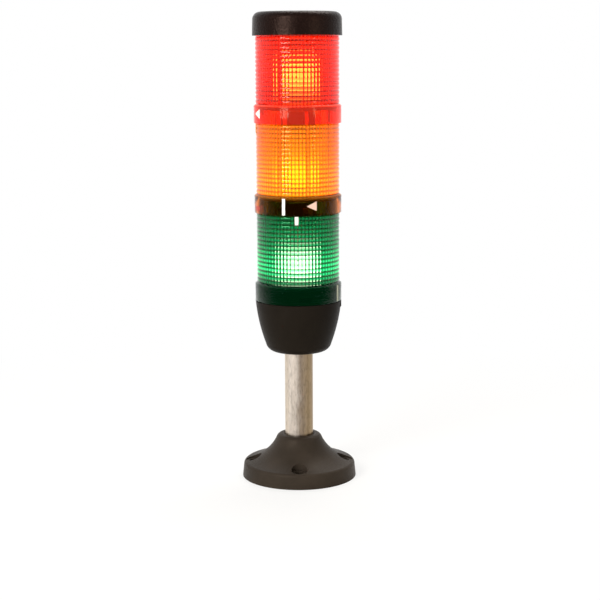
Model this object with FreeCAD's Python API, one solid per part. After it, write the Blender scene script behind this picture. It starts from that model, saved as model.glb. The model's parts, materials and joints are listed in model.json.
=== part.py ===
import FreeCAD
import Part
import math
import os

from FreeCAD import Vector

# Stack light: screw-down foot, tube, base housing, three twist-on lamp tiers and a cap.
# Millimetres and degrees. Z is up, the origin is the centre of the foot's underside.
# A bearing is counted from the front (-Y) towards +X.

# ---- Driving dimensions ------------------------------------------------------------

# Pole
POLE_RADIUS = 8.2
POLE_WALL = 1.25
POLE_LENGTH = 95.0
POLE_ENGAGEMENT = 22.7

# Foot
FOOT_RADIUS = 33.5
FOOT_RIM_HEIGHT = 8.9
FOOT_RIM_DRAFT = 0.7
FOOT_RIM_ROUND = 2.0
FOOT_RIM_SAG = 0.55
FOOT_SWEEP_SAG = 2.77
FOOT_HEIGHT = 25.1
FOOT_THROAT_WALL = 4.8
FOOT_LIP_WALL = 2.1
FOOT_LIP_RISE = 1.7
FOOT_LIP_SAG = 0.4
FOOT_WALL = 2.8
FOOT_SOCKET_WALL = 2.5
FOOT_LEDGE_HEIGHT = 3.0
FOOT_LEDGE_OVERLAP = 0.25
FOOT_RIB_THICKNESS = 2.0
FOOT_RIB_LIFT = 0.7
FOOT_RIB_COUNT = 4
SCREW_CIRCLE_RADIUS = 27.0
SCREW_HOLE_RADIUS = 2.6
SCREW_RECESS_RADIUS = 4.6
SCREW_RECESS_DEPTH = 0.55
SCREW_BOSS_RADIUS = 5.6
SCREW_COUNT = 4
ENTRY_CHAMFER = 0.8

# Grub screws that hold the tube
GRUB_RADIUS = 2.0
GRUB_LENGTH = 8.0
GRUB_SOCKET_RADIUS = 1.1
GRUB_SOCKET_DEPTH = 2.0
GRUB_BOSS_RADIUS = 4.0
FOOT_GRUB_DROP = 7.7
BASE_GRUB_RISE = 8.0
GRUB_BEARING = 180.0

# Base housing. The shelf and the socket are measured from its underside.
BASE_SHELF_HEIGHT = 18.7
BASE_SHELF_WIDTH = 2.4
BASE_RIM_RISE = 11.2
BASE_SOCKET_HEIGHT = 16.7
BASE_SOCKET_WALL = 2.4
BASE_FLOOR_INSET = 9.8
BASE_CORNER_INSET = 5.8
BASE_CORNER_RISE = 4.3
BASE_CORNER_SAG = 0.8
BASE_SIDE_SAG = 0.87
BASE_RIM_INSET = 0.05
BASE_FLOOR = 3.5
BASE_CAVITY_CORNER = 2.5
BASE_CAVITY_CORNER_RISE = 4.0
BASE_RIB_LENGTH = 3.6

# Tiers
TIER_PITCH = 51.0
BODY_RADIUS = 25.0
COLLAR_WALL = 1.6
COLLAR_ROOF = 1.4
COLLAR_SHOULDER = 1.2
NECK_WALL = 2.0
NECK_RISE = 7.3
LENS_WALL = 1.5
RIB_COUNT = 16
RIB_DEPTH = 0.5
FLUTE_COUNT = 72
FLUTE_LANDS = 4
FLUTE_DEPTH = 0.5
FLUTE_STEP = 0.5
FLUTE_ROOF = 0.7
MARK_WIDTH = 2.4
PAD_LENGTH = 5.0
PAD_RISE = 0.7
EDGE_BREAK = 0.3

# Twist lock between a neck and the collar above it
TWIST = 17.0
LUG_COUNT = 4
LUG_WIDTH = 18.0
LUG_LOW = 1.6
LUG_HEIGHT = 2.6
LUG_FROM_TICK = 36.0
GROOVE_DEPTH = 1.3
BASE_MARK = 81.0
PAD_FROM_TICK = -66.0
LAND_FROM_TICK = -72.0

# Lamp deck
DECK_THICKNESS = 1.5
DECK_BOSS_RISE = 1.6
WELL_WALL = 1.2
WELL_FLOOR_TOP = -1.0
WELL_FLOOR = 1.4

# Lamp and its socket
LAMP_CAP_RADIUS = 7.5
LAMP_CAP_LOW = 0.4
LAMP_CAP_TOP = 12.2
LAMP_PIN_RADIUS = 1.0
LAMP_PIN_REACH = 1.15
LAMP_PIN_HEIGHT = 6.6
LAMP_PIN_BEARING = 150.0
LAMP_TURN = 22.0
GLOBE_RADIUS = 8.0
GLOBE_SHOULDER = 2.3
GLOBE_TOP = 34.0
SLEEVE_WALL = 0.5
SLEEVE_TOP = 10.6
SLEEVE_FLANGE = 0.65
SOCKET_NOTCH = 1.2
PLUNGER_OFFSET = 3.0
PLUNGER_RADIUS = 1.3
PLUNGER_COLLAR = 0.5
PLUNGER_COLLAR_HEIGHT = 0.4
STRAP_THICKNESS = 0.4
STRAP_WIDTH = 3.0
STRAP_INNER_END = 1.7

# Contact strips
STRIP_THICKNESS = 0.4
STRIP_WIDTH = 1.8
STRIP_ABOVE_SEAT = 6.0
STRIP_BELOW = 4.0
STRIP_COUNT = 4
STRIP_FROM_TICK = -9.0
COMMON_ARC_WIDTH = 1.5
COMMON_ARC_INSET = 0.7

# Terminals in the base housing. The carrier's width and the pockets are measured from the neck's bore.
CARRIER_WIDTH = 9.4
POCKET_FLOOR = 2.0
POCKET_LENGTH = 7.1
CLAMP_LENGTH = 5.2
CLAMP_WIDTH = 5.0
CLAMP_HEIGHT = 4.5
WIRE_HOLE_RADIUS = 1.2
WIRE_SILL = 0.5
TERMINAL_SCREW_RADIUS = 1.5
TERMINAL_HEAD_RADIUS = 2.2
TERMINAL_HEAD_HEIGHT = 1.4
TERMINAL_SLOT = 0.6
SPRING_ABOVE_SEAT = 5.5

# Seals
SEAL_WIDTH = 1.6
SEAL_THICKNESS = 0.65

# Cap
CAP_DRAFT = 0.2
CAP_SKIRT = 2.0
CAP_HEIGHT = 13.5
CAP_WALL_TOP = 5.0
CAP_CROWN_INSET = 3.6
CAP_CROWN_RISE = 0.35
CAP_CORNER_SAG = 1.15
CAP_SKIRT_WALL = 1.05
CAP_COUNTER_DEPTH = 2.1
CAP_DISC = 2.4

# Clearances
POLE_FIT = 0.1
THREAD_FIT = 0.05
SEAT_GAP = 0.3
NECK_FIT = 0.5
LUG_FIT = 0.3
LUG_ANGLE_FIT = 1.0
SEAL_GAP = 0.15
DECK_FIT = 0.3
SLEEVE_FIT = 0.25
SLOT_FIT = 0.15
PIN_FIT = 0.35
PLUNGER_FIT = 0.1
STRIP_FIT = 0.1
STRIP_WALL_GAP = 0.3
CONTACT_GAP = 0.2
STRAP_FIT = 0.05
CARRIER_FIT = 0.2
CARRIER_GAP = 0.3
POCKET_FIT = 0.2
PAD_FIT = 0.4

# How far a cutting shape runs past the face that it opens
OVERCUT = 1.0

# ---- Derived dimensions ------------------------------------------------------------

POLE_BORE = POLE_RADIUS + POLE_FIT
POLE_TOP = FOOT_LEDGE_HEIGHT + POLE_LENGTH
CABLE_HOLE_RADIUS = POLE_RADIUS - POLE_WALL - FOOT_LEDGE_OVERLAP
FOOT_THROAT_RADIUS = POLE_BORE + FOOT_THROAT_WALL
FOOT_THROAT_HEIGHT = FOOT_HEIGHT - FOOT_LIP_RISE
FOOT_LIP_RADIUS = POLE_BORE + FOOT_LIP_WALL
FOOT_GRUB_HEIGHT = FOOT_HEIGHT - FOOT_GRUB_DROP
SCREW_SEAT_HEIGHT = FOOT_RIM_HEIGHT - SCREW_RECESS_DEPTH
BASE_BOTTOM = POLE_TOP - POLE_ENGAGEMENT
BASE_GRUB_HEIGHT = BASE_BOTTOM + BASE_GRUB_RISE
BASE_SOCKET_TOP = BASE_BOTTOM + BASE_SOCKET_HEIGHT
BASE_SHELF = BASE_BOTTOM + BASE_SHELF_HEIGHT
BASE_RIM = BASE_SHELF + BASE_RIM_RISE
BASE_FLOOR_RADIUS = BODY_RADIUS - BASE_FLOOR_INSET
BASE_CORNER_RADIUS = BODY_RADIUS - BASE_CORNER_INSET
COLLAR_SEAT = BASE_RIM + SEAT_GAP
COLLAR_BORE = BODY_RADIUS - COLLAR_WALL
NECK_RADIUS = COLLAR_BORE - NECK_FIT
NECK_BORE = NECK_RADIUS - NECK_WALL
GROOVE_FLOOR = NECK_RADIUS - GROOVE_DEPTH
LUG_TIP = GROOVE_FLOOR + LUG_FIT
FLUTE_RIDGE = NECK_BORE + FLUTE_STEP
FLUTE_VALLEY = FLUTE_RIDGE + FLUTE_DEPTH
RIB_ROOT = FLUTE_VALLEY + LENS_WALL
RIB_CREST = RIB_ROOT + RIB_DEPTH
LENS_SHOULDER = TIER_PITCH - SEAT_GAP
DECK_LOW = NECK_RISE + SEAL_GAP + SEAL_THICKNESS
DECK_TOP = DECK_LOW + DECK_THICKNESS
COLLAR_HEIGHT = DECK_TOP + COLLAR_ROOF
DECK_BOSS_TOP = DECK_TOP + DECK_BOSS_RISE
WELL_BOTTOM = WELL_FLOOR_TOP - WELL_FLOOR
SLEEVE_BORE = LAMP_CAP_RADIUS + SLEEVE_FIT
SLEEVE_RADIUS = SLEEVE_BORE + SLEEVE_WALL
WELL_BORE = LAMP_CAP_RADIUS + LAMP_PIN_REACH + PIN_FIT
WELL_RADIUS = WELL_BORE + WELL_WALL
UPPER_LEG_OUTER = NECK_BORE - STRIP_WALL_GAP
UPPER_LEG_INNER = UPPER_LEG_OUTER - STRIP_THICKNESS
LOWER_LEG_OUTER = UPPER_LEG_INNER - CONTACT_GAP
LOWER_LEG_INNER = LOWER_LEG_OUTER - STRIP_THICKNESS
STRAP_LOW = DECK_LOW - STRAP_THICKNESS
TIER_TURN = PAD_FROM_TICK - TWIST
STRIP_STEP = -TIER_TURN
COMMON_ARC_OUTER = LOWER_LEG_INNER - COMMON_ARC_INSET
COMMON_ARC_INNER = COMMON_ARC_OUTER - COMMON_ARC_WIDTH
COMMON_LOWER = STRIP_FROM_TICK + 1.5 * STRIP_STEP
COMMON_UPPER = COMMON_LOWER - STRIP_STEP
FEED_STRAP = STRIP_FROM_TICK + (STRIP_COUNT - 1) * STRIP_STEP
COMMON_STRAP = FEED_STRAP - 180.0
CARRIER_INNER = NECK_BORE - CARRIER_WIDTH
CARRIER_TOP = COLLAR_SEAT + WELL_BOTTOM - STRAP_THICKNESS - CARRIER_GAP
POCKET_INNER = NECK_BORE - POCKET_LENGTH
POCKET_BASE = BASE_SHELF + POCKET_FLOOR
SEAL_RADIUS = NECK_RADIUS - CONTACT_GAP
CAP_COUNTER = RIB_ROOT + PAD_RISE + PAD_FIT
CAP_RADIUS = CAP_COUNTER + CAP_SKIRT_WALL
FIRST_TICK = BASE_MARK - TWIST
TIER_NAMES = ("green", "amber", "red")
FEED_BEARINGS = [STRIP_FROM_TICK + STRIP_STEP * i for i in range(STRIP_COUNT)]
CAP_SEAT = COLLAR_SEAT + TIER_PITCH * len(TIER_NAMES)


# ---- Shape helpers -----------------------------------------------------------------

def outline(corners):
    """Closed face in the XZ plane. A corner is (radius, height), or (radius, height, sag)
    where the edge to the next corner is an arc that bulges to the right by sag."""
    edges = []
    for here, there in zip(corners, corners[1:] + corners[:1]):
        start = Vector(here[0], 0, here[1])
        end = Vector(there[0], 0, there[1])
        if len(here) == 3:
            along = (end - start).normalize()
            middle = (start + end) * 0.5 + Vector(along.z, 0, -along.x) * here[2]
            edges.append(Part.Arc(start, middle, end).toShape())
        else:
            edges.append(Part.LineSegment(start, end).toShape())
    return Part.Face(Part.Wire(edges))


def turned(corners):
    """Solid of revolution about Z."""
    return outline(corners).revolve(Vector(0, 0, 0), Vector(0, 0, 1), 360)


def ring(inner, outer, low, high):
    return turned([(inner, low), (outer, low), (outer, high), (inner, high)])


def turned_by(shape, angle):
    """Copy of a shape, turned about Z."""
    copy = shape.copy()
    copy.rotate(Vector(0, 0, 0), Vector(0, 0, 1), angle)
    return copy


def aimed(shape, bearing):
    """Copy of a shape drawn along +X, turned to point at a bearing."""
    return turned_by(shape, bearing - 90)


def dome_sag(radius, rise):
    """Sag of an arc that runs from the axis to a rim, level where it meets the axis."""
    curve = (radius ** 2 + rise ** 2) / (2 * rise)
    return curve - math.sqrt(curve ** 2 - (radius ** 2 + rise ** 2) / 4)


def sector(inner, outer, low, high, first, last):
    """Part of a ring between two bearings."""
    face = outline([(inner, low), (outer, low), (outer, high), (inner, high)])
    return aimed(face.revolve(Vector(0, 0, 0), Vector(0, 0, 1), last - first), first)


def bent(corners, width):
    """Flat strip: its side view in the XZ plane, given a width across it."""
    face = outline(corners)
    face.translate(Vector(0, -width / 2, 0))
    return face.extrude(Vector(0, width, 0))


def block(near, far, width, low, high):
    return bent([(near, low), (far, low), (far, high), (near, high)], width)


def rod(radius, x, low, high):
    """Upright round bar at a distance x from the axis."""
    return Part.makeCylinder(radius, high - low, Vector(x, 0, low))


def radial_rod(radius, near, far, height):
    """Round bar that points away from the axis along +X."""
    return Part.makeCylinder(radius, far - near, Vector(near, 0, height), Vector(1, 0, 0))


def spread(count):
    """Bearings of a number of equal steps round the axis."""
    return [360.0 / count * i for i in range(count)]


# ---- Stand -------------------------------------------------------------------------

def foot_outer():
    """Outside of the foot: drafted rim, hollow sweep up to the throat, rolled lip."""
    rim_top = FOOT_RADIUS - FOOT_RIM_DRAFT
    return [(FOOT_RADIUS, 0),
            (rim_top, FOOT_RIM_HEIGHT - FOOT_RIM_ROUND, FOOT_RIM_SAG),
            (rim_top - FOOT_RIM_ROUND, FOOT_RIM_HEIGHT, -FOOT_SWEEP_SAG),
            (FOOT_THROAT_RADIUS, FOOT_THROAT_HEIGHT, FOOT_LIP_SAG),
            (FOOT_LIP_RADIUS, FOOT_HEIGHT)]


def foot():
    socket_radius = POLE_BORE + FOOT_SOCKET_WALL
    solid_body = turned([(0, 0)] + foot_outer() + [(0, FOOT_HEIGHT)])
    hollow = turned([
        (socket_radius, -OVERCUT),
        (FOOT_RADIUS - FOOT_WALL, -OVERCUT),
        (FOOT_RADIUS - FOOT_WALL - FOOT_RIM_DRAFT, FOOT_RIM_HEIGHT - FOOT_WALL, -FOOT_SWEEP_SAG),
        (socket_radius, FOOT_THROAT_HEIGHT - FOOT_WALL / 2)])
    body = solid_body.cut(hollow)
    rib = block(POLE_BORE, FOOT_RADIUS - FOOT_WALL, FOOT_RIB_THICKNESS, FOOT_RIB_LIFT, FOOT_HEIGHT)
    grub_boss = radial_rod(GRUB_BOSS_RADIUS, POLE_BORE, FOOT_RADIUS, FOOT_GRUB_HEIGHT)
    screw_boss = rod(SCREW_BOSS_RADIUS, SCREW_CIRCLE_RADIUS, 0, FOOT_HEIGHT)
    inside = [aimed(grub_boss, GRUB_BEARING)]
    inside += [aimed(rib, bearing + 180.0 / FOOT_RIB_COUNT) for bearing in spread(FOOT_RIB_COUNT)]
    inside += [aimed(screw_boss, bearing) for bearing in spread(SCREW_COUNT)]
    body = body.fuse([piece.common(solid_body) for piece in inside])
    socket = turned([
        (0, -OVERCUT),
        (CABLE_HOLE_RADIUS, -OVERCUT),
        (CABLE_HOLE_RADIUS, FOOT_LEDGE_HEIGHT),
        (POLE_BORE, FOOT_LEDGE_HEIGHT),
        (POLE_BORE, FOOT_HEIGHT - ENTRY_CHAMFER),
        (POLE_BORE + ENTRY_CHAMFER, FOOT_HEIGHT),
        (POLE_BORE + ENTRY_CHAMFER, FOOT_HEIGHT + OVERCUT),
        (0, FOOT_HEIGHT + OVERCUT)])
    recess = rod(SCREW_RECESS_RADIUS, SCREW_CIRCLE_RADIUS, SCREW_SEAT_HEIGHT, FOOT_HEIGHT)
    hole = rod(SCREW_HOLE_RADIUS, SCREW_CIRCLE_RADIUS, -OVERCUT, FOOT_HEIGHT)
    grub_hole = radial_rod(GRUB_RADIUS + THREAD_FIT, 0, FOOT_RADIUS, FOOT_GRUB_HEIGHT)
    cuts = [socket, aimed(grub_hole, GRUB_BEARING)]
    cuts += [aimed(tool, bearing) for bearing in spread(SCREW_COUNT) for tool in (recess, hole)]
    return body.cut(cuts).removeSplitter()


def grub_screw(height):
    """Set screw with a hexagon socket, its flat tip against the tube."""
    near = POLE_RADIUS + THREAD_FIT
    far = near + GRUB_LENGTH
    screw = radial_rod(GRUB_RADIUS, near, far, height)
    hexagon = Part.makePolygon([
        Vector(far + OVERCUT,
               GRUB_SOCKET_RADIUS * math.sin(math.radians(60 * i)),
               height + GRUB_SOCKET_RADIUS * math.cos(math.radians(60 * i))) for i in range(7)])
    key = Part.Face(hexagon).extrude(Vector(-GRUB_SOCKET_DEPTH - OVERCUT, 0, 0))
    return aimed(screw.cut(key), GRUB_BEARING)


def pole_tube():
    return ring(POLE_RADIUS - POLE_WALL, POLE_RADIUS, FOOT_LEDGE_HEIGHT, POLE_TOP)


def grooves(seat):
    """L-shaped ways in a neck for the lugs of the collar that sits at the given height."""
    low = seat + LUG_LOW - LUG_FIT
    high = seat + LUG_LOW + LUG_HEIGHT + LUG_FIT
    half = LUG_WIDTH / 2 + LUG_ANGLE_FIT
    reach = NECK_RADIUS + OVERCUT
    top = seat + NECK_RISE + OVERCUT
    ways = []
    for step in spread(LUG_COUNT):
        ways.append(sector(GROOVE_FLOOR, reach, low, high, step - half, step + half + TWIST))
        ways.append(sector(GROOVE_FLOOR, reach, low, top, step + TWIST - half, step + TWIST + half))
    return Part.makeCompound(ways)


def lugs(seat, tick):
    """Bayonet lugs that stand inward from a collar."""
    found = []
    for step in spread(LUG_COUNT):
        centre = tick + LUG_FROM_TICK + step
        found.append(sector(LUG_TIP, COLLAR_BORE + COLLAR_WALL / 2, seat + LUG_LOW,
                            seat + LUG_LOW + LUG_HEIGHT,
                            centre - LUG_WIDTH / 2, centre + LUG_WIDTH / 2))
    return found


def base_housing():
    floor = BASE_BOTTOM + BASE_FLOOR
    shelf = NECK_BORE - BASE_SHELF_WIDTH
    socket_radius = POLE_BORE + BASE_SOCKET_WALL
    neck_top = COLLAR_SEAT + NECK_RISE
    solid_body = turned([
        (0, BASE_BOTTOM),
        (BASE_FLOOR_RADIUS, BASE_BOTTOM, BASE_CORNER_SAG),
        (BASE_CORNER_RADIUS, BASE_BOTTOM + BASE_CORNER_RISE, BASE_SIDE_SAG),
        (BODY_RADIUS - BASE_RIM_INSET, BASE_RIM),
        (NECK_RADIUS, BASE_RIM),
        (NECK_RADIUS, neck_top - EDGE_BREAK),
        (NECK_RADIUS - EDGE_BREAK, neck_top),
        (0, neck_top)])
    hollow = turned([
        (socket_radius, floor),
        (shelf - BASE_CAVITY_CORNER, floor),
        (shelf, floor + BASE_CAVITY_CORNER_RISE),
        (shelf, BASE_SHELF),
        (NECK_BORE, BASE_SHELF),
        (NECK_BORE, neck_top + OVERCUT),
        (0, neck_top + OVERCUT),
        (0, BASE_SOCKET_TOP),
        (socket_radius, BASE_SOCKET_TOP)])
    boss = radial_rod(GRUB_BOSS_RADIUS, POLE_BORE, BODY_RADIUS, BASE_GRUB_HEIGHT)
    rib = block(NECK_RADIUS - NECK_WALL / 2, BODY_RADIUS, MARK_WIDTH, BASE_RIM - BASE_RIB_LENGTH, BASE_RIM)
    body = solid_body.cut(hollow)
    body = body.fuse([aimed(boss, GRUB_BEARING).common(solid_body), aimed(rib, BASE_MARK)])
    bore = rod(POLE_BORE, 0, BASE_BOTTOM - OVERCUT, neck_top)
    grub_hole = radial_rod(GRUB_RADIUS + THREAD_FIT, 0, BODY_RADIUS + OVERCUT, BASE_GRUB_HEIGHT)
    ways = turned_by(grooves(COLLAR_SEAT), FIRST_TICK + LUG_FROM_TICK)
    return body.cut([bore, aimed(grub_hole, GRUB_BEARING), ways]).removeSplitter()


# ---- Terminals ---------------------------------------------------------------------

def base_contact_bearings():
    return [FIRST_TICK + bearing for bearing in FEED_BEARINGS + [COMMON_LOWER]]


def terminal_carrier():
    """Ring on the housing's shelf, with an open pocket and a wire way for each terminal."""
    body = ring(CARRIER_INNER, NECK_BORE - CARRIER_FIT, BASE_SHELF, CARRIER_TOP)
    pocket_width = CLAMP_WIDTH + 2 * POCKET_FIT
    pocket = block(POCKET_INNER, NECK_BORE + OVERCUT, pocket_width, POCKET_BASE, CARRIER_TOP + OVERCUT)
    wire_way = radial_rod(WIRE_HOLE_RADIUS + POCKET_FIT, CARRIER_INNER - OVERCUT,
                          POCKET_INNER + OVERCUT, wire_height())
    cuts = [aimed(tool, bearing) for bearing in base_contact_bearings() for tool in (pocket, wire_way)]
    return body.cut(cuts)


def wire_height():
    return POCKET_BASE + STRIP_THICKNESS + WIRE_SILL + WIRE_HOLE_RADIUS


def clamp_span():
    """Near and far end, bottom and top of a terminal clamp."""
    near = POCKET_INNER + POCKET_FIT
    low = POCKET_BASE + STRIP_THICKNESS
    return near, near + CLAMP_LENGTH, low, low + CLAMP_HEIGHT


def terminal_clamp():
    near, far, low, high = clamp_span()
    body = block(near, far, CLAMP_WIDTH, low, high)
    wire_hole = radial_rod(WIRE_HOLE_RADIUS, near - OVERCUT, far + OVERCUT, wire_height())
    screw_hole = rod(TERMINAL_SCREW_RADIUS + THREAD_FIT, (near + far) / 2, wire_height(), high + OVERCUT)
    return body.cut([wire_hole, screw_hole])


def terminal_screw():
    near, far, low, high = clamp_span()
    x = (near + far) / 2
    shank = rod(TERMINAL_SCREW_RADIUS, x, wire_height() + WIRE_HOLE_RADIUS / 2, high)
    head = rod(TERMINAL_HEAD_RADIUS, x, high, high + TERMINAL_HEAD_HEIGHT)
    slot = block(x - TERMINAL_HEAD_RADIUS, x + TERMINAL_HEAD_RADIUS, TERMINAL_SLOT,
                 high + TERMINAL_HEAD_HEIGHT / 2, high + TERMINAL_HEAD_HEIGHT + OVERCUT)
    return shank.fuse(head).cut(slot).removeSplitter()


def base_contact_spring():
    """Leaf that lies under its clamp and stands up beside the neck wall."""
    return bent([
        (POCKET_INNER + POCKET_FIT, POCKET_BASE),
        (UPPER_LEG_OUTER, POCKET_BASE),
        (UPPER_LEG_OUTER, COLLAR_SEAT + SPRING_ABOVE_SEAT),
        (UPPER_LEG_INNER, COLLAR_SEAT + SPRING_ABOVE_SEAT),
        (UPPER_LEG_INNER, POCKET_BASE + STRIP_THICKNESS),
        (POCKET_INNER + POCKET_FIT, POCKET_BASE + STRIP_THICKNESS)], STRIP_WIDTH)


def group(piece):
    return Part.makeCompound([aimed(piece, bearing) for bearing in base_contact_bearings()])


# ---- One tier, with its tick at bearing 0 and its collar's lower edge at height 0 --------

def flute_star():
    """Prism with a V-shaped flute at each step, apart from the plain lands."""
    step = 360.0 / FLUTE_COUNT
    corners = []

    def add(radius, bearing):
        angle = math.radians(bearing - 90)
        corners.append(Vector(radius * math.cos(angle), radius * math.sin(angle), DECK_LOW))

    for i in range(FLUTE_COUNT):
        bearing = LAND_FROM_TICK + step * i
        add(FLUTE_RIDGE, bearing - step / 2)
        if i % (FLUTE_COUNT // FLUTE_LANDS) != 0:
            add(FLUTE_VALLEY, bearing)
    corners.append(corners[0])
    return Part.Face(Part.makePolygon(corners)).extrude(Vector(0, 0, LENS_SHOULDER - FLUTE_ROOF - DECK_LOW))


def lens():
    """Collar, ribbed wall and bayonet neck in one moulding."""
    neck_top = TIER_PITCH + NECK_RISE
    rib_pitch = (LENS_SHOULDER - COLLAR_HEIGHT) / RIB_COUNT
    wall = [(COLLAR_BORE, 0),
            (BODY_RADIUS - EDGE_BREAK, 0),
            (BODY_RADIUS, EDGE_BREAK),
            (BODY_RADIUS, COLLAR_HEIGHT - COLLAR_SHOULDER),
            (RIB_ROOT, COLLAR_HEIGHT)]
    for i in range(RIB_COUNT):
        wall.append((RIB_CREST, COLLAR_HEIGHT + rib_pitch * (i + 0.5)))
        wall.append((RIB_ROOT, COLLAR_HEIGHT + rib_pitch * (i + 1)))
    wall += [(NECK_RADIUS, LENS_SHOULDER),
             (NECK_RADIUS, neck_top - EDGE_BREAK),
             (NECK_RADIUS - EDGE_BREAK, neck_top),
             (NECK_BORE, neck_top),
             (NECK_BORE, DECK_TOP),
             (COLLAR_BORE, DECK_TOP)]
    pad = block(FLUTE_VALLEY + LENS_WALL / 2, RIB_ROOT + PAD_RISE, MARK_WIDTH,
                LENS_SHOULDER - PAD_LENGTH, LENS_SHOULDER)
    next_lugs = TIER_TURN + LUG_FROM_TICK
    body = turned(wall).fuse(lugs(0, 0) + [aimed(pad, PAD_FROM_TICK)])
    return body.cut([flute_star(), turned_by(grooves(TIER_PITCH), next_lugs)]).removeSplitter()


def lamp_deck():
    """Floor of a tier with the well for the lamp socket."""
    body = turned([
        (0, WELL_BOTTOM),
        (WELL_RADIUS, WELL_BOTTOM),
        (WELL_RADIUS, DECK_LOW),
        (COLLAR_BORE - DECK_FIT, DECK_LOW),
        (COLLAR_BORE - DECK_FIT, DECK_TOP),
        (FLUTE_RIDGE - DECK_FIT, DECK_TOP),
        (FLUTE_RIDGE - DECK_FIT, DECK_BOSS_TOP),
        (WELL_BORE, DECK_BOSS_TOP),
        (WELL_BORE, WELL_FLOOR_TOP),
        (0, WELL_FLOOR_TOP)])
    slot = block(LOWER_LEG_INNER - STRIP_FIT, UPPER_LEG_OUTER + STRIP_FIT, STRIP_WIDTH + 2 * STRIP_FIT,
                 STRAP_LOW, DECK_BOSS_TOP + OVERCUT)
    plunger_hole = rod(PLUNGER_RADIUS + PLUNGER_FIT, PLUNGER_OFFSET,
                       WELL_BOTTOM - OVERCUT, WELL_FLOOR_TOP + OVERCUT)
    cuts = [aimed(slot, bearing) for bearing in FEED_BEARINGS + [COMMON_UPPER]]
    cuts += [aimed(plunger_hole, bearing) for bearing in (FEED_STRAP, COMMON_STRAP)]
    return body.cut(cuts)


def lamp_socket():
    """Metal sleeve with two J-shaped slots for the lamp's side pins."""
    body = turned([
        (SLEEVE_BORE, WELL_FLOOR_TOP),
        (SLEEVE_RADIUS + SLEEVE_FLANGE, WELL_FLOOR_TOP),
        (SLEEVE_RADIUS + SLEEVE_FLANGE, WELL_FLOOR_TOP + SLEEVE_WALL),
        (SLEEVE_RADIUS, WELL_FLOOR_TOP + SLEEVE_WALL),
        (SLEEVE_RADIUS, SLEEVE_TOP),
        (SLEEVE_BORE, SLEEVE_TOP)])
    half_slot = LAMP_PIN_RADIUS + SLOT_FIT
    half_angle = math.degrees(half_slot / SLEEVE_BORE)
    run_low = LAMP_PIN_HEIGHT - half_slot - SOCKET_NOTCH
    run_high = run_low + 2 * half_slot
    slots = []
    for side in (LAMP_PIN_BEARING, LAMP_PIN_BEARING + 180):
        entry = side + LAMP_TURN
        spans = [(run_low, run_high, side - half_angle, entry + half_angle),
                 (run_low, run_high + SOCKET_NOTCH, side - half_angle, side + half_angle),
                 (run_low, SLEEVE_TOP + OVERCUT, entry - half_angle, entry + half_angle)]
        slots += [sector(SLEEVE_BORE - OVERCUT, SLEEVE_RADIUS + OVERCUT, *span) for span in spans]
    return body.cut(slots)


def socket_pins():
    """Two plungers that press on the lamp's end contacts."""
    plunger = rod(PLUNGER_RADIUS, PLUNGER_OFFSET, WELL_BOTTOM, 0)
    collar = rod(PLUNGER_RADIUS + PLUNGER_COLLAR, PLUNGER_OFFSET, WELL_FLOOR_TOP,
                 WELL_FLOOR_TOP + PLUNGER_COLLAR_HEIGHT)
    pin = plunger.fuse(collar)
    return Part.makeCompound([aimed(pin, bearing) for bearing in (FEED_STRAP, COMMON_STRAP)])


def lamp_strap(reach):
    """Lead from a strip, under the deck and down the well, to the foot of a plunger."""
    inner = WELL_RADIUS + STRAP_FIT
    low = WELL_BOTTOM - STRAP_THICKNESS
    return bent([
        (reach, STRAP_LOW),
        (reach, DECK_LOW),
        (inner, DECK_LOW),
        (inner, WELL_BOTTOM),
        (STRAP_INNER_END, WELL_BOTTOM),
        (STRAP_INNER_END, low),
        (inner + STRAP_THICKNESS, low),
        (inner + STRAP_THICKNESS, STRAP_LOW)], STRAP_WIDTH)


def lamp_straps():
    feed = lamp_strap(LOWER_LEG_INNER - STRAP_FIT)
    arc_reach = COMMON_ARC_INNER - STRAP_FIT
    common = lamp_strap(math.sqrt(arc_reach ** 2 - (STRAP_WIDTH / 2) ** 2))
    return Part.makeCompound([aimed(feed, FEED_STRAP), aimed(common, COMMON_STRAP)])


def feed_strip():
    """Straight contact strip with a jog where it passes the deck."""
    top = TIER_PITCH + STRIP_ABOVE_SEAT
    jog = DECK_LOW + DECK_THICKNESS / 2
    return bent([
        (UPPER_LEG_INNER, top),
        (UPPER_LEG_INNER, jog + STRIP_THICKNESS),
        (LOWER_LEG_INNER, jog + STRIP_THICKNESS),
        (LOWER_LEG_INNER, STRIP_BELOW),
        (LOWER_LEG_OUTER, STRIP_BELOW),
        (LOWER_LEG_OUTER, jog),
        (UPPER_LEG_OUTER, jog),
        (UPPER_LEG_OUTER, top)], STRIP_WIDTH)


def common_strip():
    """Common lead: it steps round under the deck, so that it meets the tier above."""
    upper = bent([
        (UPPER_LEG_INNER, TIER_PITCH + STRIP_ABOVE_SEAT),
        (UPPER_LEG_INNER, DECK_LOW),
        (COMMON_ARC_INNER, DECK_LOW),
        (COMMON_ARC_INNER, STRAP_LOW),
        (UPPER_LEG_OUTER, STRAP_LOW),
        (UPPER_LEG_OUTER, TIER_PITCH + STRIP_ABOVE_SEAT)], STRIP_WIDTH)
    lower = bent([
        (COMMON_ARC_INNER, DECK_LOW),
        (COMMON_ARC_INNER, STRAP_LOW),
        (LOWER_LEG_INNER, STRAP_LOW),
        (LOWER_LEG_INNER, STRIP_BELOW),
        (LOWER_LEG_OUTER, STRIP_BELOW),
        (LOWER_LEG_OUTER, DECK_LOW)], STRIP_WIDTH)
    arc = sector(COMMON_ARC_INNER, COMMON_ARC_OUTER, STRAP_LOW, DECK_LOW, COMMON_UPPER, COMMON_LOWER)
    return aimed(upper, COMMON_UPPER).fuse([aimed(lower, COMMON_LOWER), arc]).removeSplitter()


def contact_strips():
    feeds = [aimed(feed_strip(), bearing) for bearing in FEED_BEARINGS]
    return Part.makeCompound(feeds + [common_strip()])


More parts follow.
